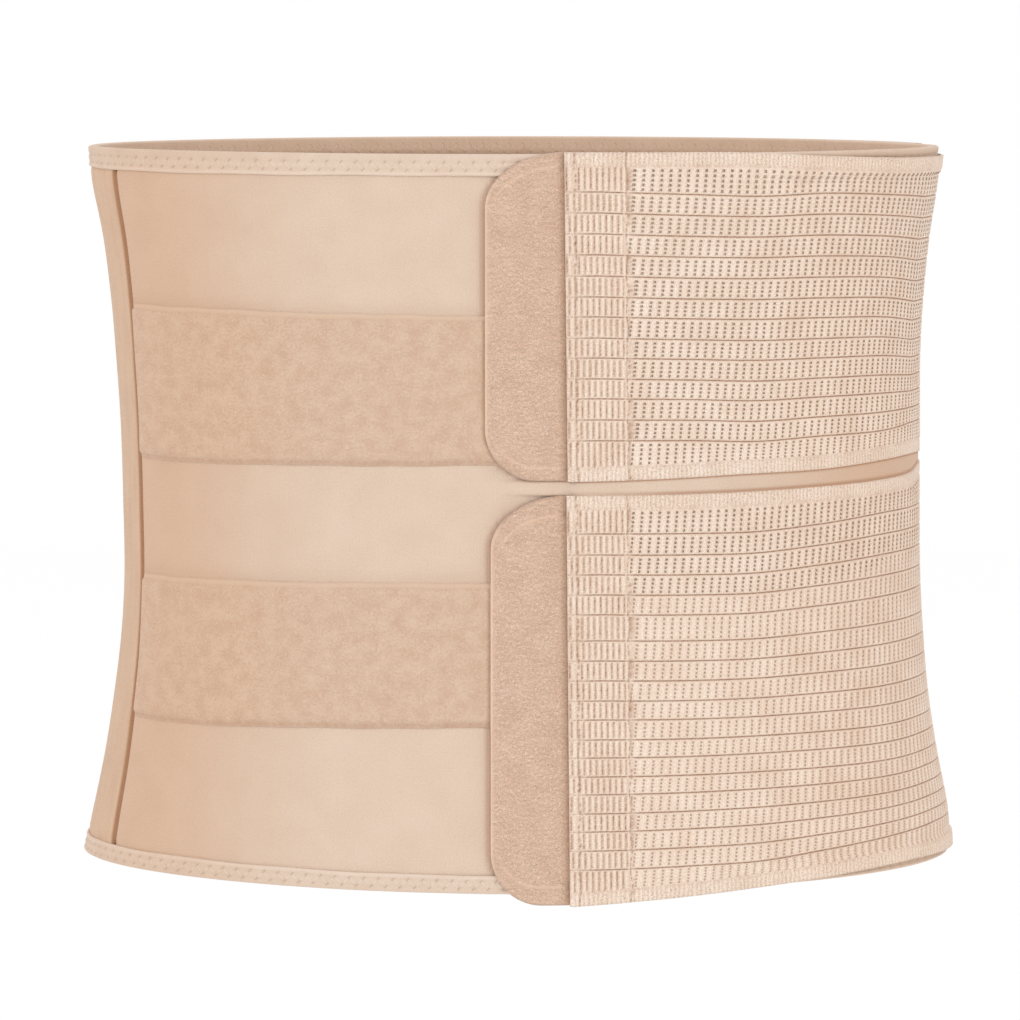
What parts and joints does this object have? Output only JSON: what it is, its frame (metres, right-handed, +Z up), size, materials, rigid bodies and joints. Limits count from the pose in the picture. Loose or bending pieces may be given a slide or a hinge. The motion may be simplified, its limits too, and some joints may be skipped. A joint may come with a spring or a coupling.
{
  "type": "abdominal binder",
  "caption": "Wrap-round abdominal binder of soft cloth with loop strips, bound edges and wide ribbed elastic straps that close in front with hook tabs.",
  "frame": {"origin": "middle of the wearer's waist, at the narrowest ring of the binder, 100 mm above its lower edge", "axes": "+Z up along the wearer's body, -Y out of the front, +X to the wearer's left, where the straps come from"},
  "size_m": [0.2954, 0.2078, 0.2424],
  "materials": {
    "knit_cloth": "smooth fine knit, matt, light skin tone",
    "brushed_cloth": "brushed knit, matt, tan",
    "binding_tape": "folded elastic tape with zigzag stitching, light beige",
    "loop_fabric": "fuzzy brushed loop, matt, tan",
    "hook_fabric": "fuzzy short pile, matt, pinkish tan",
    "ribbed_elastic": "knitted elastic with rows of small openings between thin dark lines, cream"
  },
  "bodies": {
    "root": {"front_panel": "knit_cloth", "back_panel": "brushed_cloth", "top_binding": "binding_tape", "bottom_binding": "binding_tape", "loop_strip_upper": "loop_fabric", "loop_strip_lower": "loop_fabric", "hook_tab_upper": "hook_fabric", "hook_tab_lower": "hook_fabric", "strap_upper": "ribbed_elastic", "strap_lower": "ribbed_elastic"}
  },
  "joints": []
}
